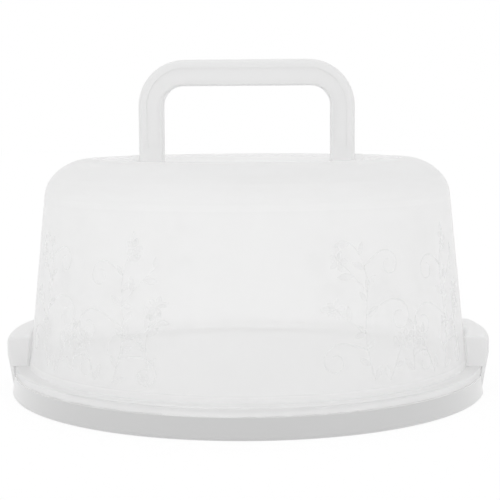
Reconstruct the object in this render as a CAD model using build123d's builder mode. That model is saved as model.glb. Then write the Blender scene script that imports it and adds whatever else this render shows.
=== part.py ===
"""Round cake carrier: ribbed tray, lift-off dome lid, folding carry handle and two side latches.

Millimetres. +Z is up, the table is z = 0 and the origin is the centre of the tray's underside.
The latches sit at +X and -X. The handle stands over the X axis and folds about it.
"""

from build123d import *
import os
from math import cos, degrees, hypot, radians, sin, tan

os.makedirs("parts", exist_ok=True)

# ---------------------------------------------------------------- driving sizes
# tray
tray_foot_radius = 143.6      # outer radius of the rim where it stands
tray_deck_height = 12.1       # top of the deck, on which the lid stands
rim_draft = 1.6               # radius that the rim loses from foot to deck
rim_wall = 2.6
rim_foot_round = 2.0
deck_wall = 2.2
locating_ring_height = 1.8    # low ring on the deck that centres the lid
locating_ring_land = 0.8      # flat top of that ring
locating_ring_ramp = 8.0      # from the flat top inwards, down to the deck
locating_play = 0.5           # between that ring and the lid's wall

# ribs under the deck
foot_ring_radius = 99.0
hub_ring_radius = 26.0
inner_ring_wall = 2.0
rib_count = 24
rib_wall = 1.6
rib_depth = 5.0

# lid
lid_wall = 1.8
flange_setback = 0.7          # the flange stands this far inside the upper edge of the rim
flange_height = 4.7           # outer face of the turned-down flange
flange_width = 8.8            # from its outer face to the foot of the dome wall
flange_edge_round = 0.8
wall_foot_round = 1.2
wall_draft_angle = 5.94       # degrees from upright
lid_crown_height = 139.7      # highest ring of the lid above the table
shoulder_low_radius = 19.8
shoulder_top_radius = 29.6
shoulder_blend_angle = 40.0   # degrees above level, where the two shoulder arcs meet
well_depth = 10.5             # the sunk top that takes the folded handle
well_draft = 1.0
well_edge_round = 2.4
well_corner_round = 2.5

# handle
handle_width = 130.0
handle_rise = 61.2            # top of the bow above its pivot
handle_depth = 15.0
handle_leg_width = 14.5
handle_bar_height = 15.5
handle_outer_round = 28.0
handle_inner_round = 11.8
handle_outer_edge_round = 2.6
handle_inner_edge_round = 1.4
handle_border = 5.0           # outer border beside the sunk panel
handle_bead = 2.0             # inner border beside the sunk panel
handle_panel_depth = 1.0
handle_panel_foot = 9.0       # the panel stops this far above the pivot
handle_floor_gap = 0.5        # folded handle to the floor of the well
handle_pin_diameter = 5.0
handle_pin_length = 4.0
handle_pin_clearance = 0.08   # radial
handle_side_gap = 0.4         # leg to ear
handle_ear_wall = 4.6
handle_ear_radius = 4.3
handle_ear_foot_width = 15.0

# latches
latch_half_width = 34.0
latch_wall = 1.8
latch_foot_drop = 3.6         # lower edge below the hinge axis
latch_foot_inset = 1.6        # lower edge inside the foot of the rim
latch_bulge = 3.7             # widest part, beyond the lower edge
latch_bulge_rise = 7.7        # start of the widest part, above the flange
latch_crest_rise = 19.3       # inner edge of the sloping top, above the flange
latch_crest_gap = 1.0         # inner edge of the top to the dome wall beside it
latch_brow_drop = 1.0         # outer edge of the top, below the inner one
latch_lip_gap = 0.8           # hook lip to the foot of the dome wall
latch_hook_gap = 0.6          # hook lip to the flange below it
latch_rounds = (10.0, 4.0, 2.2)   # at the widest part, the outer and the inner edge of the top
latch_corner_round = 2.5      # upper corners of the clip, seen from outside
latch_rib_lift = 0.3          # ribs and end walls stop this far above the lip's edge
latch_rib_count = 5           # with the two end walls
latch_rib_wall = 2.2
latch_edge_round = 1.6
latch_foot_round = 0.8

# latch hinge
hinge_inset = 4.6             # axis inside the latch's lower edge
barrel_radius = 3.0
barrel_half_length = 19.6
barrel_gap = 0.4              # barrel to the deck above it
hinge_pin_diameter = 3.8
hinge_pin_length = 3.3
hinge_pin_clearance = 0.07    # radial
hinge_side_gap = 0.4          # barrel to ear
hinge_ear_wall = 3.5
hinge_notch_gap = 2.8         # ear to the notch in the latch, in which it swings
pocket_back_gap = 0.6         # barrel to the back of the pocket
pocket_deck_gap = 1.2         # edge of the deck to the latch's outer wall
pocket_end_gap = 1.5          # end of the latch to the end of its pocket
pocket_end_wall = 2.2

# ---------------------------------------------------------------- worked-out sizes
deck_underside = tray_deck_height - deck_wall
rim_top_radius = tray_foot_radius - rim_draft
flange_top = tray_deck_height + flange_height
flange_radius = rim_top_radius - flange_setback
wall_foot_radius = flange_radius - flange_width
locating_ring_radius = wall_foot_radius - lid_wall - locating_play
well_floor = lid_crown_height - well_depth
handle_axis_height = well_floor + handle_floor_gap + handle_depth / 2
handle_height = handle_axis_height + handle_rise
handle_ear_inner = handle_width / 2 + handle_side_gap
hinge_height = deck_underside - barrel_gap - barrel_radius
latch_foot_radius = tray_foot_radius - latch_foot_inset
latch_foot_height = hinge_height - latch_foot_drop
latch_bulge_radius = latch_foot_radius + latch_bulge
draft = radians(wall_draft_angle)
latch_crest_radius = wall_foot_radius - latch_crest_rise * tan(draft) + latch_crest_gap
latch_crest_height = flange_top + latch_crest_rise
latch_lip_radius = wall_foot_radius + latch_lip_gap
latch_hook_height = flange_top + latch_hook_gap
hinge_radius = latch_foot_radius - hinge_inset
pocket_back_radius = hinge_radius - barrel_radius - pocket_back_gap
pocket_deck_radius = latch_foot_radius - latch_wall - pocket_deck_gap
beyond = 10.0                 # how far cutters reach past what they cut


def radius_of(edge):
    """Distance of an edge's middle from the Z axis."""
    return hypot(edge.center().X, edge.center().Y)


def ring(radius, wall, bottom, top):
    """Upright ring wall whose outside is at radius."""
    with BuildPart() as upright_ring:
        with BuildSketch(Plane.XY.offset(bottom)):
            Circle(radius)
            Circle(radius - wall, mode=Mode.SUBTRACT)
        extrude(amount=top - bottom)
    return upright_ring.part


def circles_at(edge_list, radius, height):
    """The level circular edges with this radius at this height."""
    tolerance = 0.01
    return edge_list.filter_by(GeomType.CIRCLE).filter_by(
        lambda edge: abs(edge.radius - radius) < tolerance
        and abs(edge.arc_center.Z - height) < tolerance
    )


# ---------------------------------------------------------------- latch hinge pocket
cut_radius = tray_foot_radius + beyond
pocket_half_width = latch_half_width + pocket_end_gap
pocket_wall_start = pocket_back_radius - inner_ring_wall / 2
deck_middle = tray_deck_height - deck_wall / 2


def rim_slot(inner_radius, outer_radius, half_width, bottom, top):
    """What lies between two radii and between two planes either side of the +X axis."""
    with BuildPart() as slot:
        with BuildSketch(Plane.XY.offset(bottom)):
            with Locations((outer_radius / 2, 0)):
                Rectangle(outer_radius, 2 * half_width)
            Circle(outer_radius, mode=Mode.INTERSECT)
            Circle(inner_radius, mode=Mode.SUBTRACT)
        extrude(amount=top - bottom)
    return slot.part


with BuildPart() as pocket_cut:
    add(rim_slot(pocket_back_radius, cut_radius, pocket_half_width, -beyond, deck_underside))
    add(rim_slot(pocket_deck_radius, cut_radius, pocket_half_width, -beyond, flange_top))

with BuildPart() as pocket_ends:
    pocket_wall_width = pocket_half_width + pocket_end_wall
    add(rim_slot(pocket_wall_start, rim_top_radius, pocket_wall_width, 0, deck_middle))
    add(
        rim_slot(pocket_wall_start - beyond, cut_radius, pocket_half_width, -beyond, cut_radius),
        mode=Mode.SUBTRACT,
    )

ear_start = barrel_half_length + hinge_side_gap
with BuildPart() as hinge_ears:
    for side in (-1, 1):
        with BuildSketch(Plane.XZ.offset(-side * (ear_start + hinge_ear_wall / 2))):
            with Locations((hinge_radius, hinge_height)):
                Circle(barrel_radius)
            with BuildLine():
                Polyline(
                    (pocket_wall_start, hinge_height - barrel_radius),
                    (hinge_radius, hinge_height - barrel_radius),
                    (hinge_radius + barrel_radius, hinge_height),
                    (hinge_radius + barrel_radius / 2, deck_middle),
                    (pocket_wall_start, deck_middle),
                    close=True,
                )
            make_face()
            with Locations((hinge_radius, hinge_height)):
                Circle(hinge_pin_diameter / 2 + hinge_pin_clearance, mode=Mode.SUBTRACT)
        extrude(amount=hinge_ear_wall / 2, both=True)

# ---------------------------------------------------------------- tray
with BuildPart() as tray:
    # deck and rim as one turned section
    with BuildSketch(Plane.XZ):
        with BuildLine():
            Polyline(
                (0, tray_deck_height),
                (rim_top_radius, tray_deck_height),
                (tray_foot_radius, 0),
                (tray_foot_radius - rim_wall, 0),
                (rim_top_radius - rim_wall, deck_underside),
                (0, deck_underside),
                close=True,
            )
        make_face()
    revolve(axis=Axis.Z)
    outer_edges = edges().filter_by(GeomType.CIRCLE).sort_by(SortBy.RADIUS)
    fillet(outer_edges[-1], radius=rim_foot_round)
    add(ring(pocket_back_radius, inner_ring_wall, 0, deck_middle))
    add(ring(foot_ring_radius, inner_ring_wall, 0, deck_middle))
    add(ring(hub_ring_radius, inner_ring_wall, deck_underside - rib_depth, deck_middle))
    # low ring on the deck, steep towards the lid and a gentle ramp towards the cake
    locating_ring_top = tray_deck_height + locating_ring_height
    ramp_start = locating_ring_radius - locating_ring_land
    with BuildSketch(Plane.XZ):
        with BuildLine():
            Polyline(
                (locating_ring_radius, deck_middle),
                (locating_ring_radius, locating_ring_top),
                (ramp_start, locating_ring_top),
                (ramp_start - locating_ring_ramp, tray_deck_height),
                (ramp_start - locating_ring_ramp, deck_middle),
                close=True,
            )
        make_face()
    revolve(axis=Axis.Z)
    # radial ribs from the hub ring out to the rim
    rib_start = hub_ring_radius - inner_ring_wall / 2
    rib_end = rim_top_radius - rim_wall / 2
    with BuildSketch(Plane.XY.offset(deck_underside - rib_depth)):
        with PolarLocations((rib_start + rib_end) / 2, rib_count, start_angle=180 / rib_count):
            Rectangle(rib_end - rib_start, rib_wall)
    extrude(amount=rib_depth + deck_wall / 2)
    # a hinge pocket at each side
    with PolarLocations(0, 2):
        add(pocket_cut.part, mode=Mode.SUBTRACT)
    with PolarLocations(0, 2):
        add(pocket_ends.part)
    with PolarLocations(0, 2):
        add(hinge_ears.part)

tray.part.label = "base_tray"
export_step(tray.part, "parts/base_tray.step")

# ---------------------------------------------------------------- lid
# The shoulder is two tangent arcs: a wide one on top, a tighter one that runs into the wall.
top_arc_height = lid_crown_height - shoulder_top_radius
arc_step = shoulder_top_radius - shoulder_low_radius
low_arc_height = top_arc_height + arc_step * sin(radians(shoulder_blend_angle))
low_arc_drop = (low_arc_height - flange_top) * sin(draft)
low_arc_radius = wall_foot_radius - (shoulder_low_radius + low_arc_drop) / cos(draft)
crown_radius = low_arc_radius - arc_step * cos(radians(shoulder_blend_angle))
well_radius = crown_radius - well_edge_round


with BuildPart() as lid:
    # one skin line from the middle of the well to the foot of the flange, thickened inwards
    with BuildSketch(Plane.XZ):
        with BuildLine():
            well_line = Line((0, well_floor), (well_radius - well_draft, well_floor))
            well_side = Line(well_line @ 1, (well_radius, lid_crown_height - well_edge_round))
            edge_arc = CenterArc(
                (crown_radius, lid_crown_height - well_edge_round), well_edge_round, 180, -90
            )
            top_arc = CenterArc(
                (crown_radius, top_arc_height), shoulder_top_radius, 90, shoulder_blend_angle - 90
            )
            low_arc = CenterArc(
                (low_arc_radius, low_arc_height),
                shoulder_low_radius,
                shoulder_blend_angle,
                wall_draft_angle - shoulder_blend_angle,
            )
            wall_line = Line(low_arc @ 1, (wall_foot_radius, flange_top))
            flange_line = Line(wall_line @ 1, (flange_radius, flange_top))
            Line(flange_line @ 1, (flange_radius, tray_deck_height))
            offset(amount=lid_wall, side=Side.RIGHT, closed=True)
        make_face()
    revolve(axis=Axis.Z)
    fillet(circles_at(edges(), wall_foot_radius, flange_top), radius=wall_foot_round)
    fillet(circles_at(edges(), flange_radius, flange_top), radius=flange_edge_round)
    fillet(circles_at(edges(), well_radius - well_draft, well_floor), radius=well_corner_round)
    # two ears in the well hold the handle's pins
    for side in (-1, 1):
        with BuildSketch(Plane.YZ.offset(side * (handle_ear_inner + handle_ear_wall / 2))):
            with Locations((0, handle_axis_height)):
                Circle(handle_ear_radius)
            with BuildLine():
                Polyline(
                    (-handle_ear_foot_width / 2, well_floor - lid_wall / 2),
                    (handle_ear_foot_width / 2, well_floor - lid_wall / 2),
                    (handle_ear_radius, handle_axis_height),
                    (-handle_ear_radius, handle_axis_height),
                    close=True,
                )
            make_face()
            with Locations((0, handle_axis_height)):
                Circle(handle_pin_diameter / 2 + handle_pin_clearance, mode=Mode.SUBTRACT)
        extrude(amount=handle_ear_wall / 2, both=True)

lid.part.label = "lid"
export_step(lid.part, "parts/lid.step")

# ---------------------------------------------------------------- handle
handle_foot = handle_axis_height - handle_depth / 2
handle_grip_top = handle_height - handle_bar_height
handle_grip_half = handle_width / 2 - handle_leg_width


def bow_outline(plane, outer_inset, inner_inset, foot):
    """Bow outline on an upright plane along X, drawn in from its outer and its inner edge."""
    half = handle_width / 2 - outer_inset
    top = handle_height - outer_inset
    grip_half = handle_grip_half + inner_inset
    grip_top = handle_grip_top + inner_inset
    with BuildSketch(plane) as bow:
        with BuildLine():
            outer = FilletPolyline(
                (-half, foot),
                (-half, top),
                (half, top),
                (half, foot),
                radius=handle_outer_round - outer_inset,
            )
            inner = FilletPolyline(
                (-grip_half, foot),
                (-grip_half, grip_top),
                (grip_half, grip_top),
                (grip_half, foot),
                radius=handle_inner_round + inner_inset,
            )
            Line(outer @ 0, inner @ 0)
            Line(outer @ 1, inner @ 1)
        make_face()
    return bow.sketch


with BuildPart() as handle:
    extrude(bow_outline(Plane.XZ, 0, 0, handle_foot - beyond), amount=handle_depth / 2, both=True)
    # full-round feet about the pivot
    with BuildSketch(Plane.YZ):
        with Locations((0, handle_axis_height)):
            Circle(handle_depth / 2)
        with Locations((0, (handle_axis_height + handle_height) / 2)):
            Rectangle(handle_depth, handle_height - handle_axis_height)
    extrude(amount=handle_width, both=True, mode=Mode.INTERSECT)
    # soften the outer border and the inner bead, front and back
    face_edges = edges().filter_by(lambda edge: abs(abs(edge.center().Y) - handle_depth / 2) < 0.01)
    outer_line = handle_grip_half + handle_leg_width / 2
    outer_level = handle_grip_top + handle_bar_height / 2
    outer_edges = face_edges.filter_by(
        lambda edge: abs(edge.center().X) > outer_line or edge.center().Z > outer_level
    )
    fillet(outer_edges, radius=handle_outer_edge_round)
    inner_edges = edges().filter_by(
        lambda edge: abs(abs(edge.center().Y) - handle_depth / 2) < 0.01
        and abs(edge.center().X) <= handle_grip_half
        and edge.center().Z <= handle_grip_top
    )
    fillet(inner_edges, radius=handle_inner_edge_round)
    # sunk panel, front and back
    panel_foot = handle_axis_height + handle_panel_foot
    for side in (-1, 1):
        panel_plane = Plane.XZ.offset(side * (handle_depth / 2 - handle_panel_depth))
        panel = bow_outline(panel_plane, handle_border, handle_bead, panel_foot)
        extrude(panel, amount=side * beyond, mode=Mode.SUBTRACT)
    # stub pins
    for side in (-1, 1):
        with BuildSketch(Plane.YZ.offset(side * (handle_width / 2 - handle_pin_length))):
            with Locations((0, handle_axis_height)):
                Circle(handle_pin_diameter / 2)
        extrude(amount=side * 2 * handle_pin_length)

handle.part.label = "handle"
export_step(handle.part, "parts/handle.step")

# ---------------------------------------------------------------- latches
# Each latch is a hollow clip open towards the lid, drawn here at +X: an outer wall, a sloping top
# and a hook lip that comes down on the flange, tied together by end walls and ribs.
latch_rib_foot = latch_hook_height + latch_rib_lift
latch_sweep_angle = 2 * degrees(2 * latch_half_width / latch_foot_radius)
latch_skin_points = [
    (latch_foot_radius, latch_foot_height),
    (latch_bulge_radius, flange_top + latch_bulge_rise),
    (latch_bulge_radius, latch_crest_height - latch_brow_drop),
    (latch_crest_radius, latch_crest_height),
    (latch_lip_radius, latch_hook_height),
]
half_sweep = radians(latch_sweep_angle / 2)
latch_start_plane = Plane(
    origin=(0, 0, 0),
    x_dir=(cos(half_sweep), -sin(half_sweep), 0),
    z_dir=(-sin(half_sweep), -cos(half_sweep), 0),
)


def turned_clip(hollow):
    """The clip's section turned about Z, either its walls only or filled towards the lid."""
    with BuildPart() as sweep:
        with BuildSketch(latch_start_plane):
            with BuildLine():
                skin = FilletPolyline(*latch_skin_points, radius=latch_rounds)
                if hollow:
                    offset(amount=latch_wall, side=Side.LEFT, closed=True)
                else:
                    inner_corner = (latch_lip_radius, latch_foot_height)
                    Polyline(skin @ 0, inner_corner, skin @ 1)
            make_face()
        revolve(axis=Axis.Z, revolution_arc=latch_sweep_angle)
    return sweep.part


filled_clip = turned_clip(False)
with BuildPart() as latch_hollow:
    add(filled_clip)
    add(turned_clip(True), mode=Mode.SUBTRACT)
    # end walls and ribs stay
    rib_pitch = (2 * latch_half_width - latch_rib_wall) / (latch_rib_count - 1)
    with BuildSketch(Plane.XY.offset(latch_rib_foot)):
        with Locations((latch_foot_radius, 0)):
            with GridLocations(0, rib_pitch, 1, latch_rib_count):
                Rectangle(latch_foot_radius, latch_rib_wall)
    extrude(amount=latch_crest_height, mode=Mode.SUBTRACT)

with BuildPart() as hinge_barrel:
    with BuildSketch(Plane.XZ):
        with Locations((hinge_radius, hinge_height)):
            Circle(barrel_radius)
            Rectangle(beyond, 2 * barrel_radius, align=(Align.MIN, Align.CENTER))
    extrude(amount=barrel_half_length, both=True)
    Cylinder(latch_foot_radius - latch_foot_round, cut_radius, mode=Mode.INTERSECT)
    with BuildSketch(Plane.XZ):
        with Locations((hinge_radius, hinge_height)):
            Circle(hinge_pin_diameter / 2)
    extrude(amount=barrel_half_length + hinge_pin_length, both=True)

with BuildPart() as latch:
    add(filled_clip)
    # trimmed to width, with rounded upper corners
    with BuildSketch(Plane.YZ):
        RectangleRounded(2 * latch_half_width, 2 * latch_crest_height, latch_corner_round)
    extrude(amount=cut_radius, mode=Mode.INTERSECT)
    # round its ends along the outer wall, the top and the lip, then its lower edge
    ends_start = latch_half_width - latch_corner_round / 2
    end_edges = edges().filter_by(
        lambda edge: abs(edge.center().Y) > ends_start
        and edge.center().Z > latch_foot_height + latch_foot_round
        and (edge.center().Z > latch_hook_height or radius_of(edge) > pocket_deck_radius)
    )
    fillet(end_edges, radius=latch_edge_round)
    fillet(circles_at(edges(), latch_foot_radius, latch_foot_height), radius=latch_foot_round)
    add(latch_hollow.part, mode=Mode.SUBTRACT)
    # notches in the outer wall, in which the tray's hinge ears swing
    for side in (-1, 1):
        with BuildSketch(Plane.XZ.offset(-side * (ear_start + hinge_ear_wall / 2))):
            with Locations((hinge_radius, hinge_height)):
                Circle(barrel_radius + hinge_notch_gap)
        notch_half_width = hinge_ear_wall / 2 + hinge_side_gap
        extrude(amount=notch_half_width, both=True, mode=Mode.SUBTRACT)
    add(hinge_barrel.part)

for name, turn in (("latch_right", 0), ("latch_left", 180)):
    with BuildPart() as fitted_latch:
        with Locations(Rotation(0, 0, turn)):
            add(latch.part)
    fitted_latch.part.label = name
    export_step(fitted_latch.part, f"parts/{name}.step")
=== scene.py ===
"""Finishes, vine relief, light and camera for the round cake carrier.

Metres, in the frame of the solids: +Z up, the table at z = 0, the latches at +X and -X. The vine
alone is laid out flat in millimetres, and wrapped round the wall at the end.
"""

from math import cos, pi, radians, sin, tan

import bmesh
import bpy
from mathutils import Euler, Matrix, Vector


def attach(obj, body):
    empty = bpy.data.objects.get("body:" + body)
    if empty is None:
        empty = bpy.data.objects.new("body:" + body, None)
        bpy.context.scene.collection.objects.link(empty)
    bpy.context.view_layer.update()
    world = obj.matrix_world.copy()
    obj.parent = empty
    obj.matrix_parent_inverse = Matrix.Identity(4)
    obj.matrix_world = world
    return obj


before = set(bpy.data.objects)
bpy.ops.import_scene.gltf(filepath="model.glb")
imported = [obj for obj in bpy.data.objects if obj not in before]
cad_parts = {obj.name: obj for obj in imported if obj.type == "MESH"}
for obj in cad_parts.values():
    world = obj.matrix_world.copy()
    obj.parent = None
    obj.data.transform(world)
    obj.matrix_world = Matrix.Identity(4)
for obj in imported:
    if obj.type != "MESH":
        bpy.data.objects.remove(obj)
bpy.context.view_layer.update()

MM = 0.001

# ---------------------------------------------------------------- sizes of the lid's wall
WALL_FOOT_RADIUS = 132.5 * MM
WALL_FOOT_HEIGHT = 16.8 * MM
WALL_DRAFT = radians(5.94)
PANEL_FOOT = 20.4 * MM        # the clear panel, and how softly it begins and ends
PANEL_TOP = 115.5 * MM
PANEL_FOOT_BLEND = 0.4 * MM
PANEL_TOP_BLEND = 0.8 * MM
SHOULDER_TOP = 130.0 * MM     # above it the crown is frosted in full

# ---------------------------------------------------------------- the plastic
PLASTIC_IOR = 1.49
CLOUD_SCALE = 14.0            # per metre
GRAIN_SCALE = 1400.0
GRAIN_HEIGHT = 0.015 * MM
LID_GRAIN_HEIGHT = 0.010 * MM
VINE_GRAIN_HEIGHT = 0.005 * MM
ROUGHNESS_SPREAD = 0.08       # between the clouds
TRAY_SHEEN = 1.0
TRAY_SHEEN_ROUGHNESS = 0.6
LID_SPECULAR = 0.15

# how solid each face of the lid looks, straight on and at a grazing angle
CROWN_ALPHA = 0.78
SHOULDER_ALPHA = 0.58         # at the foot of the crown
CLEAR_ALPHA = 0.56
FOOT_ALPHA = 0.72
GRAZING_ALPHA = 0.94
GRAZING_POWER = 1.8           # how late the haze thickens as the wall turns away
INSIDE_SHARE = 0.1            # how much of a wall's haze is on its inner face
VINE_ALPHA = 0.11

# how much of the light on a milky piece comes from its other side, and how solid the piece is
# to all rays but the camera's, as a share of how solid it looks
LID_THROUGH, LID_LAMP_SHARE = 0.5, 0.12
HANDLE_THROUGH, HANDLE_LAMP_SHARE = 0.2, 0.4
LATCH_THROUGH, LATCH_LAMP_SHARE = 0.2, 0.25

# ---------------------------------------------------------------- the vine, in mm
VINE_REPEATS = 4
VINE_WRAP_RADIUS = 127.5      # of the wall, where a length along the layout is true
VINE_PITCH = 2 * pi * VINE_WRAP_RADIUS / VINE_REPEATS
VINE_START = radians(-75.4)   # where the first panel begins, about +Z
VINE_STEP = 1.5               # between the points of a stem
VINE_RELIEF = 0.5             # how much of its layout height the vine stands proud
VINE_SEED = 7
STEM_RADIUS = 0.5
STEM_SIDES = 8
STEM_THINNING = 0.4           # share of its radius that a stem loses towards its tip
BLADE_SEGMENTS = 12           # of the ball that a blade, a leaf or a petal, is shaped from
BLADE_RINGS = 8
BLADE_RISE = 0.55
LEAF_SPACING = 8.0
LEAF_LENGTH = 9.0
LEAF_WIDTH = 3.8
LEAF_ANGLE = radians(48)
LEAF_SIZES = (0.75, 1.1)      # smallest and largest, as a share of the full leaf
PETALS = 5
PETAL_LENGTH = 5.2
PETAL_WIDTH = 3.4
BLOSSOM_HEART = 0.6           # radius of the ring on which the petals begin

# name, then (mm along, mm up) or (parent, share along it), then heading or turn off the parent
# in degrees, then runs of (length, bend at its start, bend at its end), leaves, blossom
VINE_STEMS = (
    ("left_stem", (40.0, 25.0), 104.0,
     ((26, 0.0, -0.020), (30, -0.020, 0.030), (20, 0.030, 0.045)), 1, 0),
    ("left_low_curl", ("left_stem", 0.22), 62.0, ((12, 0.0, 0.02), (44, 0.05, 0.27)), 0, 0),
    ("left_mid_curl", ("left_stem", 0.46), -58.0, ((14, 0.01, -0.02), (50, -0.045, -0.24)), 0, 0),
    ("left_sprig", ("left_stem", 0.62), 48.0, ((24, -0.012, 0.028),), 1, 1),
    ("left_high_curl", ("left_stem", 0.80), -66.0, ((10, 0.0, -0.03), (40, -0.06, -0.28)), 0, 0),
    ("right_stem", (98.0, 24.0), 72.0,
     ((24, 0.0, 0.022), (34, 0.022, -0.028), (16, -0.028, -0.05)), 1, 1),
    ("right_low_curl", ("right_stem", 0.18), -64.0, ((10, 0.0, -0.02), (42, -0.055, -0.27)), 0, 0),
    ("right_mid_curl", ("right_stem", 0.40), 60.0, ((16, -0.01, 0.02), (52, 0.045, 0.23)), 0, 0),
    ("right_sprig", ("right_stem", 0.56), -50.0, ((28, 0.012, -0.026),), 1, 0),
    ("right_high_curl", ("right_stem", 0.78), 62.0, ((9, 0.0, 0.03), (40, 0.06, 0.28)), 0, 0),
    ("small_sprig", (68.0, 27.0), 86.0, ((22, 0.012, -0.03),), 1, 1),
    ("small_curl", ("small_sprig", 0.35), -52.0, ((34, -0.05, -0.30),), 0, 0),
    ("left_foot_sprig", (50.0, 24.0), 58.0, ((24, 0.02, -0.03),), 1, 1),
    ("left_outer_sprig", ("left_stem", 0.34), 60.0, ((22, 0.0, -0.03),), 1, 1),
    ("right_foot_sprig", (86.0, 24.0), 118.0, ((22, -0.02, 0.03),), 1, 1),
    ("right_outer_sprig", ("right_stem", 0.30), -62.0, ((24, 0.0, 0.03),), 1, 1),
    ("edge_sprig", (120.0, 25.0), 96.0, ((26, 0.01, -0.03), (16, -0.03, -0.01)), 1, 1),
    ("edge_curl", ("edge_sprig", 0.42), 58.0, ((12, 0.0, 0.03), (36, 0.06, 0.27)), 0, 0),
)

# ---------------------------------------------------------------- surroundings and camera
FLOOR_HALF_WIDTH = 6.0
FLOOR_SHADE = 0.85
FLOOR_ROUGHNESS = 0.9
FLOOR_SPECULAR = 0.1
FLOOR_GLOW = 1.015            # makes up for the share of the floor that keeps the shadow
FLOOR_GLOW_SEEN = 0.9         # share of glow in the floor as the background shows it
FLOOR_GLOW_LIT = 0.4          # and as it lights the carrier

WORLD_FRONT = 1.17            # strength of the surroundings from the camera's side
WORLD_BACK = 1.22
WORLD_BESIDE = 0.42           # share of it that comes from straight beside the carrier
WORLD_TURN_POWER = 1.3        # how late the front gives way to the back

SOFTBOX_TARGET = (0, 0, 0.08)
TOP_SOFTBOX_PLACE = (0.0, 0.1, 1.3)
TOP_SOFTBOX_SIZE = (1.4, 1.2)
TOP_SOFTBOX_POWER = 0.3
SIDE_SOFTBOX_OUT = 1.15
SIDE_SOFTBOX_FORWARD = 0.65
SIDE_SOFTBOX_HEIGHT = 0.4
SIDE_SOFTBOX_SIZE = (1.0, 1.0)
SIDE_SOFTBOX_POWER = 0.5

IMAGE_WIDTH = 500
FOCAL_PIXELS = 1265
AXIS_COLUMN = 247.6           # image column of the carrier's axis
SENSOR_WIDTH = 36.0           # in mm, as Blender takes it
CAMERA_DISTANCE = 770 * MM
CAMERA_HEIGHT = 161.3 * MM
CAMERA_AZIMUTH = radians(2.0)
CAMERA_PITCH = radians(5.8)
CAMERA_ROLL = radians(0.38)
CAMERA_CLIP_START = 10 * MM

# near wall, relief and far wall, each with two faces, lie one behind another
CLEAR_LAYERS = 24

scene = bpy.context.scene
scene.view_settings.view_transform = "Standard"
scene.cycles.transparent_max_bounces = CLEAR_LAYERS


# ---------------------------------------------------------------- node helpers
def grey(level):
    """Neutral opaque colour of this level."""
    return (level, level, level, 1)


def add_node(tree, kind, **values):
    """A node of this kind, with attributes and input defaults set by name."""
    node = tree.nodes.new(kind)
    for name, value in values.items():
        if hasattr(node, name):
            setattr(node, name, value)
        else:
            node.inputs[name.replace("_", " ")].default_value = value
    return node


def link(tree, source, target):
    tree.links.new(source, target)


def feed(tree, source, target):
    """Link target to source where that is a socket, and otherwise set it as target's own value."""
    if isinstance(source, bpy.types.NodeSocket):
        link(tree, source, target)
    else:
        target.default_value = source


def maths(tree, operation, *terms):
    """Result of a Math node on these terms, each a number or a socket."""
    node = add_node(tree, "ShaderNodeMath", operation=operation)
    for term, target in zip(terms, node.inputs):
        feed(tree, term, target)
    return node.outputs[0]


def between(tree, share, low, high):
    """low where share is 0, high where it is 1, and even steps between; numbers or sockets."""
    node = add_node(tree, "ShaderNodeMapRange")
    for source, label in ((share, "Value"), (low, "To Min"), (high, "To Max")):
        feed(tree, source, node.inputs[label])
    return node.outputs["Result"]


def mix_shaders(tree, share, first, second):
    """first where share is 0 and second where it is 1."""
    node = add_node(tree, "ShaderNodeMixShader")
    for source, target in zip((share, first, second), node.inputs):
        feed(tree, source, target)
    return node.outputs[0]


def split(tree, vector):
    """The X, Y and Z sockets of a vector."""
    parts = add_node(tree, "ShaderNodeSeparateXYZ")
    link(tree, vector, parts.inputs[0])
    return parts.outputs["X"], parts.outputs["Y"], parts.outputs["Z"]


def join(tree, x, y, z):
    """The vector socket of three parts, each a number or a socket."""
    parts = add_node(tree, "ShaderNodeCombineXYZ")
    for source, target in zip((x, y, z), parts.inputs):
        feed(tree, source, target)
    return parts.outputs[0]


def new_group(name, kind, inputs, outputs):
    """Node group with named sockets; inputs are (name, type, default)."""
    group = bpy.data.node_groups.new(name, kind)
    for label, socket_type, default in inputs:
        socket = group.interface.new_socket(name=label, in_out="INPUT", socket_type=socket_type)
        if default is not None:
            socket.default_value = default
    for label, socket_type in outputs:
        group.interface.new_socket(name=label, in_out="OUTPUT", socket_type=socket_type)
    return group, group.nodes.new("NodeGroupInput"), group.nodes.new("NodeGroupOutput")


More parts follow.
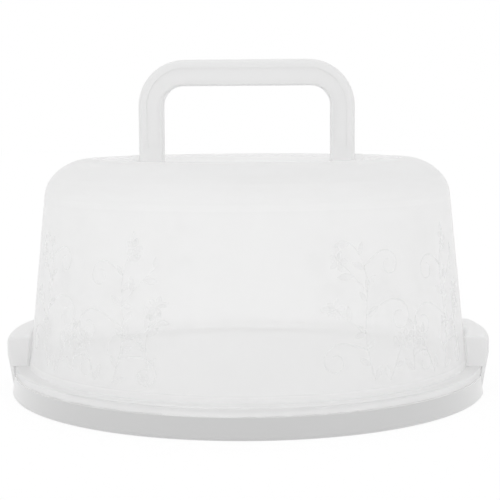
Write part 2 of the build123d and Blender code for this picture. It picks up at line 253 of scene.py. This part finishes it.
# ---------------------------------------------------------------- shader groups
def build_moulded_skin():
    """Satin skin of a polypropylene moulding: faint flow clouds, fine spark-eroded grain."""
    group, given, result = new_group(
        "moulded_skin",
        "ShaderNodeTree",
        [
            ("Colour", "NodeSocketColor", grey(0.8)),
            ("Cloud Colour", "NodeSocketColor", grey(0.75)),
            ("Cloud Scale", "NodeSocketFloat", CLOUD_SCALE),
            ("Grain Scale", "NodeSocketFloat", GRAIN_SCALE),
            ("Grain Height", "NodeSocketFloat", GRAIN_HEIGHT),
            ("Roughness", "NodeSocketFloat", 0.45),
            ("Roughness Spread", "NodeSocketFloat", ROUGHNESS_SPREAD),
        ],
        [
            ("Colour", "NodeSocketColor"),
            ("Roughness", "NodeSocketFloat"),
            ("Normal", "NodeSocketVector"),
        ],
    )
    place = add_node(group, "ShaderNodeTexCoord")
    clouds = add_node(group, "ShaderNodeTexNoise", Detail=3.0, Roughness=0.55)
    link(group, place.outputs["Object"], clouds.inputs["Vector"])
    link(group, given.outputs["Cloud Scale"], clouds.inputs["Scale"])
    tint = add_node(group, "ShaderNodeMix", data_type="RGBA")
    link(group, clouds.outputs["Fac"], tint.inputs["Factor"])
    # the A, B and Result that are colours
    link(group, given.outputs["Colour"], tint.inputs[6])
    link(group, given.outputs["Cloud Colour"], tint.inputs[7])
    link(group, tint.outputs[2], result.inputs["Colour"])

    grain = add_node(group, "ShaderNodeTexNoise", Detail=2.0, Roughness=0.6)
    link(group, place.outputs["Object"], grain.inputs["Vector"])
    link(group, given.outputs["Grain Scale"], grain.inputs["Scale"])
    bump = add_node(group, "ShaderNodeBump", Strength=1.0)
    link(group, grain.outputs["Fac"], bump.inputs["Height"])
    link(group, given.outputs["Grain Height"], bump.inputs["Distance"])
    link(group, bump.outputs["Normal"], result.inputs["Normal"])

    centred = maths(group, "SUBTRACT", clouds.outputs["Fac"], 0.5)
    spread, middle = given.outputs["Roughness Spread"], given.outputs["Roughness"]
    link(group, maths(group, "MULTIPLY_ADD", centred, spread, middle), result.inputs["Roughness"])
    return group


def build_panel_mask():
    """Where on the lid a point is, each as 0 to 1.

    Clear is the clear panel of the wall, Foot the band and flange below it, and Shoulder how far
    up the foot of the crown. Inside is 1 on the inner face of the moulding.
    """
    group, given, result = new_group(
        "clear_panel_mask",
        "ShaderNodeTree",
        [
            ("Panel Foot", "NodeSocketFloat", PANEL_FOOT),
            ("Panel Top", "NodeSocketFloat", PANEL_TOP),
            ("Foot Blend", "NodeSocketFloat", PANEL_FOOT_BLEND),
            ("Top Blend", "NodeSocketFloat", PANEL_TOP_BLEND),
            ("Shoulder Top", "NodeSocketFloat", SHOULDER_TOP),
            ("Seen From Behind", "NodeSocketFloat", 0.0),
        ],
        [
            ("Clear", "NodeSocketFloat"),
            ("Foot", "NodeSocketFloat"),
            ("Shoulder", "NodeSocketFloat"),
            ("Inside", "NodeSocketFloat"),
        ],
    )
    place = add_node(group, "ShaderNodeTexCoord")
    x, y, height = split(group, place.outputs["Object"])

    def ramp(gap, blend):
        share = add_node(group, "ShaderNodeMath", operation="DIVIDE", use_clamp=True)
        link(group, gap, share.inputs[0])
        link(group, given.outputs[blend], share.inputs[1])
        return share.outputs[0]

    above_foot = ramp(maths(group, "SUBTRACT", height, given.outputs["Panel Foot"]), "Foot Blend")
    below_top = ramp(maths(group, "SUBTRACT", given.outputs["Panel Top"], height), "Top Blend")
    link(group, maths(group, "MULTIPLY", above_foot, below_top), result.inputs["Clear"])
    link(group, maths(group, "SUBTRACT", 1.0, above_foot), result.inputs["Foot"])

    rise = add_node(group, "ShaderNodeMapRange", interpolation_type="SMOOTHSTEP")
    link(group, height, rise.inputs["Value"])
    link(group, given.outputs["Panel Top"], rise.inputs["From Min"])
    link(group, given.outputs["Shoulder Top"], rise.inputs["From Max"])
    link(group, rise.outputs["Result"], result.inputs["Shoulder"])

    # a face looks inwards where its normal points down or towards the axis
    outwards = add_node(group, "ShaderNodeVectorMath", operation="NORMALIZE")
    link(group, join(group, x, y, 0.0), outwards.inputs[0])
    up_and_out = add_node(group, "ShaderNodeVectorMath", operation="ADD")
    link(group, outwards.outputs[0], up_and_out.inputs[0])
    up_and_out.inputs[1].default_value = (0, 0, 1)
    towards = add_node(group, "ShaderNodeVectorMath", operation="DOT_PRODUCT")
    link(group, place.outputs["Normal"], towards.inputs[0])
    link(group, up_and_out.outputs[0], towards.inputs[1])
    turned = maths(group, "LESS_THAN", towards.outputs["Value"], 0.0)
    # seen from behind, the normal is the other way round
    apart = maths(group, "SUBTRACT", turned, given.outputs["Seen From Behind"])
    link(group, maths(group, "ABSOLUTE", apart), result.inputs["Inside"])
    return group


moulded_skin = build_moulded_skin()
clear_panel_mask = build_panel_mask()


# ---------------------------------------------------------------- finishes
def new_finish(name):
    """New material, its node tree and its Principled shader."""
    finish = bpy.data.materials.new(name)
    finish.use_nodes = True
    tree = finish.node_tree
    return finish, tree, tree.nodes["Principled BSDF"]


def moulded_finish(name, shade, cloud_shade, roughness, grain_height=GRAIN_HEIGHT):
    """Neutral polypropylene with the moulded skin: the material, its tree, shader and skin."""
    finish, tree, shader = new_finish(name)
    skin = add_node(tree, "ShaderNodeGroup", node_tree=moulded_skin)
    skin.inputs["Colour"].default_value = grey(shade)
    skin.inputs["Cloud Colour"].default_value = grey(cloud_shade)
    skin.inputs["Roughness"].default_value = roughness
    skin.inputs["Grain Height"].default_value = grain_height
    link(tree, skin.outputs["Colour"], shader.inputs["Base Color"])
    link(tree, skin.outputs["Roughness"], shader.inputs["Roughness"])
    link(tree, skin.outputs["Normal"], shader.inputs["Normal"])
    shader.inputs["IOR"].default_value = PLASTIC_IOR
    return finish, tree, shader, skin


def let_light_through(tree, shader, skin, share):
    """Mix in the light that reaches the milky plastic from its other side."""
    through = add_node(tree, "ShaderNodeBsdfTranslucent")
    link(tree, skin.outputs["Colour"], through.inputs["Color"])
    link(tree, skin.outputs["Normal"], through.inputs["Normal"])
    return mix_shaders(tree, share, shader.outputs[0], through.outputs[0])


def thin_for_lamps(tree, plastic, solid, lamp_share):
    """Show the plastic as solid as given, and thinner by lamp_share to all but the camera."""
    rays = add_node(tree, "ShaderNodeLightPath")
    share = between(tree, rays.outputs["Is Camera Ray"], lamp_share, 1.0)
    if solid is not None:
        share = maths(tree, "MULTIPLY", solid, share)
    clear = add_node(tree, "ShaderNodeBsdfTransparent")
    shown = mix_shaders(tree, share, clear.outputs[0], plastic)
    link(tree, shown, tree.nodes["Material Output"].inputs["Surface"])


def milky_finish(name, shade, cloud_shade, roughness, through, lamp_share):
    """Milky white polypropylene that light from behind shows through."""
    finish, tree, shader, skin = moulded_finish(name, shade, cloud_shade, roughness)
    plastic = let_light_through(tree, shader, skin, through)
    thin_for_lamps(tree, plastic, None, lamp_share)
    return finish


def build_tray_white():
    """Opaque polypropylene whose fine texture catches the light at a grazing angle."""
    finish, _, shader, _ = moulded_finish(
        "tray_white", shade=0.565, cloud_shade=0.55, roughness=0.42
    )
    shader.inputs["Sheen Weight"].default_value = TRAY_SHEEN
    shader.inputs["Sheen Roughness"].default_value = TRAY_SHEEN_ROUGHNESS
    return finish


def build_lid_frosted():
    """Translucent lid: frosted crown and foot, clearer wall between them.

    A wall looks denser at a grazing angle, because more plastic lies in the way, and milky
    plastic passes much of the light that it doesn't let one see through.
    """
    finish, tree, shader, skin = moulded_finish(
        "lid_frosted", shade=0.935, cloud_shade=0.915, roughness=0.38, grain_height=LID_GRAIN_HEIGHT
    )
    shader.inputs["Specular IOR Level"].default_value = LID_SPECULAR
    plastic = let_light_through(tree, shader, skin, LID_THROUGH)

    mask = add_node(tree, "ShaderNodeGroup", node_tree=clear_panel_mask)
    sides = add_node(tree, "ShaderNodeNewGeometry")
    link(tree, sides.outputs["Backfacing"], mask.inputs["Seen From Behind"])
    crown = between(tree, mask.outputs["Shoulder"], SHOULDER_ALPHA, CROWN_ALPHA)
    wall = between(tree, mask.outputs["Clear"], crown, CLEAR_ALPHA)
    foot = between(tree, mask.outputs["Foot"], wall, FOOT_ALPHA)
    facing = add_node(tree, "ShaderNodeLayerWeight", Blend=0.5)
    grazing = maths(tree, "POWER", facing.outputs["Facing"], GRAZING_POWER)
    outer = between(tree, grazing, foot, GRAZING_ALPHA)
    inner_share = between(tree, mask.outputs["Inside"], 1.0, INSIDE_SHARE)
    haze = maths(tree, "MULTIPLY", outer, inner_share)
    thin_for_lamps(tree, plastic, haze, LID_LAMP_SHARE)
    return finish


def build_vine_finish_with_painted_shade():
    """The wall's own plastic, a little denser and smoother where it stands proud, and darker: a
    painted shade for the light that the relief's slopes bend away.
    """
    # a shade below the lid's own is painted shade: the relief is the same plastic, darkened where
    # its slopes bend the light away
    finish, _, shader, _ = moulded_finish(
        "vine_relief", shade=0.86, cloud_shade=0.84, roughness=0.3, grain_height=VINE_GRAIN_HEIGHT
    )
    shader.inputs["Alpha"].default_value = VINE_ALPHA
    return finish


def dress_solids():
    """Give each of the carrier's mouldings its finish."""
    tray_white = build_tray_white()
    handle_milk = milky_finish(
        "handle_milk",
        shade=0.855,
        cloud_shade=0.835,
        roughness=0.4,
        through=HANDLE_THROUGH,
        lamp_share=HANDLE_LAMP_SHARE,
    )
    latch_milk = milky_finish(
        "latch_milk",
        shade=0.84,
        cloud_shade=0.82,
        roughness=0.4,
        through=LATCH_THROUGH,
        lamp_share=LATCH_LAMP_SHARE,
    )
    for node_name, finish in (
        ("base_tray", tray_white),
        ("lid", build_lid_frosted()),
        ("handle", handle_milk),
        ("latch_left", latch_milk),
        ("latch_right", latch_milk),
    ):
        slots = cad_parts[node_name].data.materials
        slots.clear()
        slots.append(finish)


# ---------------------------------------------------------------- vine relief
def grow_stem(start, heading, runs):
    """Points along a stem whose bend changes evenly over each run, and its heading at each."""
    along, up = start
    points, headings = [(along, up)], [heading]
    for length, first_bend, last_bend in runs:
        steps = max(2, round(length / VINE_STEP))
        step = length / steps
        for number in range(steps):
            bend = first_bend + (last_bend - first_bend) * (number + 0.5) / steps
            heading += bend * step / 2
            along += cos(heading) * step
            up += sin(heading) * step
            heading += bend * step / 2
            points.append((along, up))
            headings.append(heading)
    return points, headings


def build_vine_lines():
    """One panel's stems as loose edges, with a mark on each point for leaves and for a blossom."""
    grown, points, edges, leafy, bloom = {}, [], [], [], []
    for name, start, turn, runs, leaves, blossom in VINE_STEMS:
        heading = radians(turn)
        if isinstance(start[0], str):
            parent_points, parent_headings = grown[start[0]]
            place = round(start[1] * (len(parent_points) - 1))
            start = parent_points[place]
            heading += parent_headings[place]
        grown[name] = grow_stem(start, heading, runs)
        stem = grown[name][0]
        first = len(points)
        points += [(along, up, 0.0) for along, up in stem]
        edges += [(first + number, first + number + 1) for number in range(len(stem) - 1)]
        leafy += [float(leaves)] * len(stem)
        bloom += [0.0] * (len(stem) - 1) + [float(blossom)]
    mesh = bpy.data.meshes.new("vine_lines")
    mesh.from_pydata(points, edges, [])
    for label, marks in (("leafy", leafy), ("bloom", bloom)):
        mesh.attributes.new(label, "FLOAT", "POINT").data.foreach_set("value", marks)
    return mesh


def build_blade_tree():
    """A pointed, domed blade that starts at the origin and runs along +X."""
    tree, given, result = new_group(
        "vine_blade",
        "GeometryNodeTree",
        [
            ("Length", "NodeSocketFloat", LEAF_LENGTH),
            ("Width", "NodeSocketFloat", LEAF_WIDTH),
            ("Rise", "NodeSocketFloat", BLADE_RISE),
        ],
        [("Geometry", "NodeSocketGeometry")],
    )
    ball = add_node(
        tree,
        "GeometryNodeMeshUVSphere",
        Segments=BLADE_SEGMENTS,
        Rings=BLADE_RINGS,
        Radius=1.0,
    )
    x, y, z = split(tree, add_node(tree, "GeometryNodeInputPosition").outputs[0])
    # the ball narrows once more towards its two ends, to a point
    pinch = maths(tree, "SQRT", maths(tree, "SUBTRACT", 1.0, maths(tree, "MULTIPLY", x, x)))
    half_length = maths(tree, "MULTIPLY", given.outputs["Length"], 0.5)
    half_width = maths(tree, "MULTIPLY", given.outputs["Width"], 0.5)
    shaped = join(
        tree,
        maths(tree, "MULTIPLY_ADD", x, half_length, half_length),
        maths(tree, "MULTIPLY", maths(tree, "MULTIPLY", y, pinch), half_width),
        maths(tree, "MULTIPLY", z, given.outputs["Rise"]),
    )
    move = add_node(tree, "GeometryNodeSetPosition")
    link(tree, ball.outputs["Mesh"], move.inputs["Geometry"])
    link(tree, shaped, move.inputs["Position"])
    link(tree, move.outputs[0], result.inputs["Geometry"])
    return tree


def turned_flat(tree, angle):
    """Rotation by angle about +Z, as a socket."""
    rotation = add_node(tree, "FunctionNodeEulerToRotation")
    link(tree, join(tree, 0.0, 0.0, angle), rotation.inputs[0])
    return rotation.outputs[0]


def build_blossom_tree(blade):
    """Petals round the origin, each a blade that points away from it."""
    tree, given, result = new_group(
        "vine_blossom",
        "GeometryNodeTree",
        [
            ("Petals", "NodeSocketInt", PETALS),
            ("Petal Length", "NodeSocketFloat", PETAL_LENGTH),
            ("Petal Width", "NodeSocketFloat", PETAL_WIDTH),
            ("Rise", "NodeSocketFloat", BLADE_RISE),
            ("Heart Radius", "NodeSocketFloat", BLOSSOM_HEART),
        ],
        [("Geometry", "NodeSocketGeometry")],
    )
    heart = add_node(tree, "GeometryNodeMeshCircle", fill_type="NONE")
    link(tree, given.outputs["Petals"], heart.inputs["Vertices"])
    link(tree, given.outputs["Heart Radius"], heart.inputs["Radius"])
    x, y, _ = split(tree, add_node(tree, "GeometryNodeInputPosition").outputs[0])
    petal = add_node(tree, "GeometryNodeGroup", node_tree=blade)
    link(tree, given.outputs["Petal Length"], petal.inputs["Length"])
    link(tree, given.outputs["Petal Width"], petal.inputs["Width"])
    link(tree, given.outputs["Rise"], petal.inputs["Rise"])
    ring = add_node(tree, "GeometryNodeInstanceOnPoints")
    link(tree, heart.outputs["Mesh"], ring.inputs["Points"])
    link(tree, petal.outputs[0], ring.inputs["Instance"])
    link(tree, turned_flat(tree, maths(tree, "ARCTAN2", y, x)), ring.inputs["Rotation"])
    link(tree, ring.outputs[0], result.inputs["Geometry"])
    return tree


def marked(tree, label):
    """True on the points whose mark of this name is set."""
    mark = add_node(tree, "GeometryNodeInputNamedAttribute", data_type="FLOAT")
    mark.inputs["Name"].default_value = label
    chosen = add_node(tree, "FunctionNodeCompare", data_type="FLOAT", operation="GREATER_THAN")
    link(tree, mark.outputs["Attribute"], chosen.inputs[0])
    chosen.inputs[1].default_value = 0.5
    return chosen.outputs[0]


def add_stems(tree, given, curves):
    """Tubes along the curves, thinner towards their tips."""
    profile = add_node(
        tree, "GeometryNodeCurvePrimitiveCircle", mode="RADIUS", Resolution=STEM_SIDES
    )
    link(tree, given.outputs["Stem Radius"], profile.inputs["Radius"])
    way = add_node(tree, "GeometryNodeSplineParameter")
    tubes = add_node(tree, "GeometryNodeCurveToMesh")
    link(tree, curves, tubes.inputs["Curve"])
    link(tree, profile.outputs["Curve"], tubes.inputs["Profile Curve"])
    thinning = maths(tree, "MULTIPLY_ADD", way.outputs["Factor"], -STEM_THINNING, 1.0)
    link(tree, thinning, tubes.inputs["Scale"])
    tubes.inputs["Fill Caps"].default_value = True
    return tubes.outputs[0]


def add_leaves(tree, given, curves, blade):
    """Leaves of mixed sizes along the leafy curves, left and right in turn."""
    buds = add_node(tree, "GeometryNodeCurveToPoints", mode="LENGTH")
    link(tree, curves, buds.inputs["Curve"])
    link(tree, given.outputs["Leaf Spacing"], buds.inputs["Length"])
    ahead, sideways, _ = split(tree, buds.outputs["Tangent"])
    heading = maths(tree, "ARCTAN2", sideways, ahead)
    odd = maths(tree, "MODULO", add_node(tree, "GeometryNodeInputIndex").outputs[0], 2.0)
    side = maths(tree, "MULTIPLY_ADD", odd, 2.0, -1.0)
    lean = maths(tree, "MULTIPLY_ADD", side, given.outputs["Leaf Angle"], heading)
    size = add_node(tree, "FunctionNodeRandomValue", data_type="FLOAT")
    # the Min and Max that are plain numbers
    size.inputs[2].default_value, size.inputs[3].default_value = LEAF_SIZES
    link(tree, given.outputs["Seed"], size.inputs["Seed"])
    leaf = add_node(tree, "GeometryNodeGroup", node_tree=blade)
    link(tree, given.outputs["Leaf Length"], leaf.inputs["Length"])
    link(tree, given.outputs["Leaf Width"], leaf.inputs["Width"])
    link(tree, given.outputs["Blade Rise"], leaf.inputs["Rise"])
    leaves = add_node(tree, "GeometryNodeInstanceOnPoints")
    link(tree, buds.outputs["Points"], leaves.inputs["Points"])
    link(tree, marked(tree, "leafy"), leaves.inputs["Selection"])
    link(tree, leaf.outputs[0], leaves.inputs["Instance"])
    link(tree, turned_flat(tree, lean), leaves.inputs["Rotation"])
    link(tree, size.outputs[1], leaves.inputs["Scale"])
    return leaves.outputs[0]


def add_blossoms(tree, given, blossom):
    """A blossom at each marked tip."""
    tips = add_node(tree, "GeometryNodeMeshToPoints", mode="VERTICES")
    link(tree, given.outputs["Geometry"], tips.inputs["Mesh"])
    link(tree, marked(tree, "bloom"), tips.inputs["Selection"])
    flower = add_node(tree, "GeometryNodeGroup", node_tree=blossom)
    link(tree, given.outputs["Petal Length"], flower.inputs["Petal Length"])
    link(tree, given.outputs["Petal Width"], flower.inputs["Petal Width"])
    link(tree, given.outputs["Blade Rise"], flower.inputs["Rise"])
    flowers = add_node(tree, "GeometryNodeInstanceOnPoints")
    link(tree, tips.outputs[0], flowers.inputs["Points"])
    link(tree, flower.outputs[0], flowers.inputs["Instance"])
    return flowers.outputs[0]


def repeat_panels(tree, given, panel):
    """The panel as often as it goes round the wall, side by side along X."""
    row = add_node(tree, "GeometryNodeMeshLine", mode="OFFSET")
    link(tree, given.outputs["Repeats"], row.inputs["Count"])
    link(tree, join(tree, given.outputs["Pitch"], 0.0, 0.0), row.inputs["Offset"])
    panels = add_node(tree, "GeometryNodeInstanceOnPoints")
    link(tree, row.outputs[0], panels.inputs["Points"])
    link(tree, panel, panels.inputs["Instance"])
    strip = add_node(tree, "GeometryNodeRealizeInstances")
    link(tree, panels.outputs[0], strip.inputs[0])
    return strip.outputs[0]


def wrap_round_wall(tree, given, strip):
    """The flat strip, in mm, wrapped round the tapered wall, in metres."""
    along, up, out = split(tree, add_node(tree, "GeometryNodeInputPosition").outputs[0])
    angle = maths(tree, "DIVIDE", along, given.outputs["Wrap Radius"])
    angle = maths(tree, "ADD", angle, given.outputs["Start Angle"])
    height = maths(tree, "MULTIPLY", up, given.outputs["Unit"])
    proud = maths(tree, "MULTIPLY", out, given.outputs["Unit"])
    proud = maths(tree, "MULTIPLY", proud, given.outputs["Relief"])
    above = maths(tree, "SUBTRACT", height, given.outputs["Wall Foot Height"])
    taper = maths(tree, "MULTIPLY", above, given.outputs["Wall Slope"])
    radius = maths(tree, "SUBTRACT", given.outputs["Wall Foot Radius"], taper)
    radius = maths(tree, "ADD", radius, proud)
    x = maths(tree, "MULTIPLY", maths(tree, "COSINE", angle), radius)
    y = maths(tree, "MULTIPLY", maths(tree, "SINE", angle), radius)
    wrap = add_node(tree, "GeometryNodeSetPosition")
    link(tree, strip, wrap.inputs["Geometry"])
    link(tree, join(tree, x, y, height), wrap.inputs["Position"])
    return wrap.outputs[0]


def build_vine_tree(blade, blossom):
    """Stems with leaves and blossoms on one flat panel, repeated and wrapped round the wall."""
    tree, given, result = new_group(
        "vine_relief",
        "GeometryNodeTree",
        [
            ("Geometry", "NodeSocketGeometry", None),
            ("Stem Radius", "NodeSocketFloat", STEM_RADIUS),
            ("Relief", "NodeSocketFloat", VINE_RELIEF),
            ("Blade Rise", "NodeSocketFloat", BLADE_RISE),
            ("Leaf Spacing", "NodeSocketFloat", LEAF_SPACING),
            ("Leaf Length", "NodeSocketFloat", LEAF_LENGTH),
            ("Leaf Width", "NodeSocketFloat", LEAF_WIDTH),
            ("Leaf Angle", "NodeSocketFloat", LEAF_ANGLE),
            ("Petal Length", "NodeSocketFloat", PETAL_LENGTH),
            ("Petal Width", "NodeSocketFloat", PETAL_WIDTH),
            ("Repeats", "NodeSocketInt", VINE_REPEATS),
            ("Pitch", "NodeSocketFloat", VINE_PITCH),
            ("Wrap Radius", "NodeSocketFloat", VINE_WRAP_RADIUS),
            ("Start Angle", "NodeSocketFloat", VINE_START),
            ("Wall Foot Radius", "NodeSocketFloat", WALL_FOOT_RADIUS),
            ("Wall Foot Height", "NodeSocketFloat", WALL_FOOT_HEIGHT),
            ("Wall Slope", "NodeSocketFloat", tan(WALL_DRAFT)),
            ("Unit", "NodeSocketFloat", MM),
            ("Seed", "NodeSocketInt", VINE_SEED),
            ("Material", "NodeSocketMaterial", None),
        ],
        [("Geometry", "NodeSocketGeometry")],
    )
    curves = add_node(tree, "GeometryNodeMeshToCurve")
    link(tree, given.outputs["Geometry"], curves.inputs["Mesh"])
    stems = add_stems(tree, given, curves.outputs["Curve"])
    leaves = add_leaves(tree, given, curves.outputs["Curve"], blade)
    blossoms = add_blossoms(tree, given, blossom)
    panel = add_node(tree, "GeometryNodeJoinGeometry")
    for part in (blossoms, leaves, stems):
        link(tree, part, panel.inputs[0])
    flat = add_node(tree, "GeometryNodeRealizeInstances")
    link(tree, panel.outputs[0], flat.inputs[0])
    wrapped = wrap_round_wall(tree, given, repeat_panels(tree, given, flat.outputs[0]))
    smooth = add_node(tree, "GeometryNodeSetShadeSmooth")
    link(tree, wrapped, smooth.inputs["Geometry"])
    finish = add_node(tree, "GeometryNodeSetMaterial")
    link(tree, smooth.outputs[0], finish.inputs["Geometry"])
    link(tree, given.outputs["Material"], finish.inputs["Material"])
    link(tree, finish.outputs[0], result.inputs["Geometry"])
    return tree


def set_input(modifier, label, value):
    """Set a Geometry Nodes input by the socket's identifier."""
    for item in modifier.node_group.interface.items_tree:
        if item.item_type == "SOCKET" and item.in_out == "INPUT" and item.name == label:
            modifier[item.identifier] = value
            return
    raise KeyError(label)


def grown_mesh(name, lines, tree, finish):
    """Plain mesh object from what a Geometry Nodes tree makes of these lines."""
    maker = bpy.data.objects.new(name + "_maker", lines)
    scene.collection.objects.link(maker)
    modifier = maker.modifiers.new("grow", "NODES")
    modifier.node_group = tree
    set_input(modifier, "Material", finish)
    grown = maker.evaluated_get(bpy.context.evaluated_depsgraph_get())
    mesh = bpy.data.meshes.new_from_object(grown)
    maker.modifiers.clear()
    bpy.data.objects.remove(maker)
    mesh.name = name
    piece = bpy.data.objects.new(name, mesh)
    scene.collection.objects.link(piece)
    return piece


def build_vine():
    """The embossed vine of the lid's wall, as one piece."""
    blade = build_blade_tree()
    tree = build_vine_tree(blade, build_blossom_tree(blade))
    vine = grown_mesh("lid_vine_relief", build_vine_lines(), tree, build_vine_finish_with_painted_shade())
    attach(vine, "lid")


# ---------------------------------------------------------------- floor, light and camera
def sees_background(tree):
    """1 for rays that show the background: the camera's, and those off gloss or through glass."""
    rays = add_node(tree, "ShaderNodeLightPath").outputs
    direct = maths(tree, "MAXIMUM", rays["Is Camera Ray"], rays["Is Transmission Ray"])
    return maths(tree, "MAXIMUM", direct, rays["Is Glossy Ray"])


def build_floor():
    """White table that shows white to the camera and keeps the carrier's soft shadow."""
    mesh = bpy.data.meshes.new("table")
    maker = bmesh.new()
    bmesh.ops.create_grid(maker, x_segments=1, y_segments=1, size=FLOOR_HALF_WIDTH)
    maker.to_mesh(mesh)
    maker.free()
    table = bpy.data.objects.new("table", mesh)
    scene.collection.objects.link(table)
    finish, tree, shader = new_finish("table_white")
    shader.inputs["Base Color"].default_value = grey(FLOOR_SHADE)
    shader.inputs["Roughness"].default_value = FLOOR_ROUGHNESS
    shader.inputs["Specular IOR Level"].default_value = FLOOR_SPECULAR
    glow = add_node(tree, "ShaderNodeEmission", Strength=FLOOR_GLOW)
    glow_share = between(tree, sees_background(tree), FLOOR_GLOW_LIT, FLOOR_GLOW_SEEN)
    shown = mix_shaders(tree, glow_share, shader.outputs[0], glow.outputs[0])
    link(tree, shown, tree.nodes["Material Output"].inputs["Surface"])
    mesh.materials.append(finish)


def build_world():
    """Soft surroundings, dimmer to the sides, and plain white where they are the background."""
    world = bpy.data.worlds.new("studio")
    world.use_nodes = True
    tree = world.node_tree
    place = add_node(tree, "ShaderNodeTexCoord")
    sideways, backwards, _ = split(tree, place.outputs["Generated"])
    behind = add_node(tree, "ShaderNodeMapRange")
    behind.inputs["From Min"].default_value = -1.0
    link(tree, backwards, behind.inputs["Value"])
    turn = maths(tree, "POWER", behind.outputs["Result"], WORLD_TURN_POWER)
    strength = between(tree, turn, WORLD_FRONT, WORLD_BACK)
    dimming = between(tree, maths(tree, "MULTIPLY", sideways, sideways), 1.0, WORLD_BESIDE)
    fill_light = tree.nodes["Background"]
    fill_light.inputs["Color"].default_value = grey(1.0)
    link(tree, maths(tree, "MULTIPLY", strength, dimming), fill_light.inputs["Strength"])
    white = add_node(tree, "ShaderNodeBackground", Strength=1.0)
    white.inputs["Color"].default_value = grey(1.0)
    shown = mix_shaders(tree, sees_background(tree), fill_light.outputs[0], white.outputs[0])
    link(tree, shown, tree.nodes["World Output"].inputs["Surface"])
    scene.world = world


def add_softbox(name, place, size, power):
    """Rectangular lamp at place, facing the carrier."""
    light = bpy.data.lights.new(name, "AREA")
    light.shape = "RECTANGLE"
    light.size, light.size_y = size
    light.energy = power
    lamp = bpy.data.objects.new(name, light)
    lamp.location = place
    direction = Vector(SOFTBOX_TARGET) - Vector(place)
    lamp.rotation_euler = direction.to_track_quat("-Z", "Y").to_euler()
    scene.collection.objects.link(lamp)


def build_softboxes():
    """One lamp overhead, and one at each side in front."""
    add_softbox("top_softbox", TOP_SOFTBOX_PLACE, TOP_SOFTBOX_SIZE, TOP_SOFTBOX_POWER)
    for name, side in (("left_softbox", -1), ("right_softbox", 1)):
        place = (side * SIDE_SOFTBOX_OUT, -SIDE_SOFTBOX_FORWARD, SIDE_SOFTBOX_HEIGHT)
        add_softbox(name, place, SIDE_SOFTBOX_SIZE, SIDE_SOFTBOX_POWER)


def build_camera():
    """Camera at the height, distance and tilt of the view, with its small roll."""
    camera = bpy.data.cameras.new("camera")
    camera.sensor_width = SENSOR_WIDTH
    camera.lens = FOCAL_PIXELS / IMAGE_WIDTH * SENSOR_WIDTH
    camera.shift_x = 0.5 - AXIS_COLUMN / IMAGE_WIDTH
    camera.clip_start = CAMERA_CLIP_START
    view = bpy.data.objects.new("camera", camera)
    view.location = (
        CAMERA_DISTANCE * sin(CAMERA_AZIMUTH),
        -CAMERA_DISTANCE * cos(CAMERA_AZIMUTH),
        CAMERA_HEIGHT,
    )
    turn = Euler((pi / 2 - CAMERA_PITCH, 0, CAMERA_AZIMUTH)).to_matrix()
    roll = Euler((0, 0, -CAMERA_ROLL)).to_matrix()
    view.rotation_euler = (turn @ roll).to_euler()
    scene.collection.objects.link(view)
    scene.camera = view


dress_solids()
build_vine()
build_floor()
build_world()
build_softboxes()
build_camera()
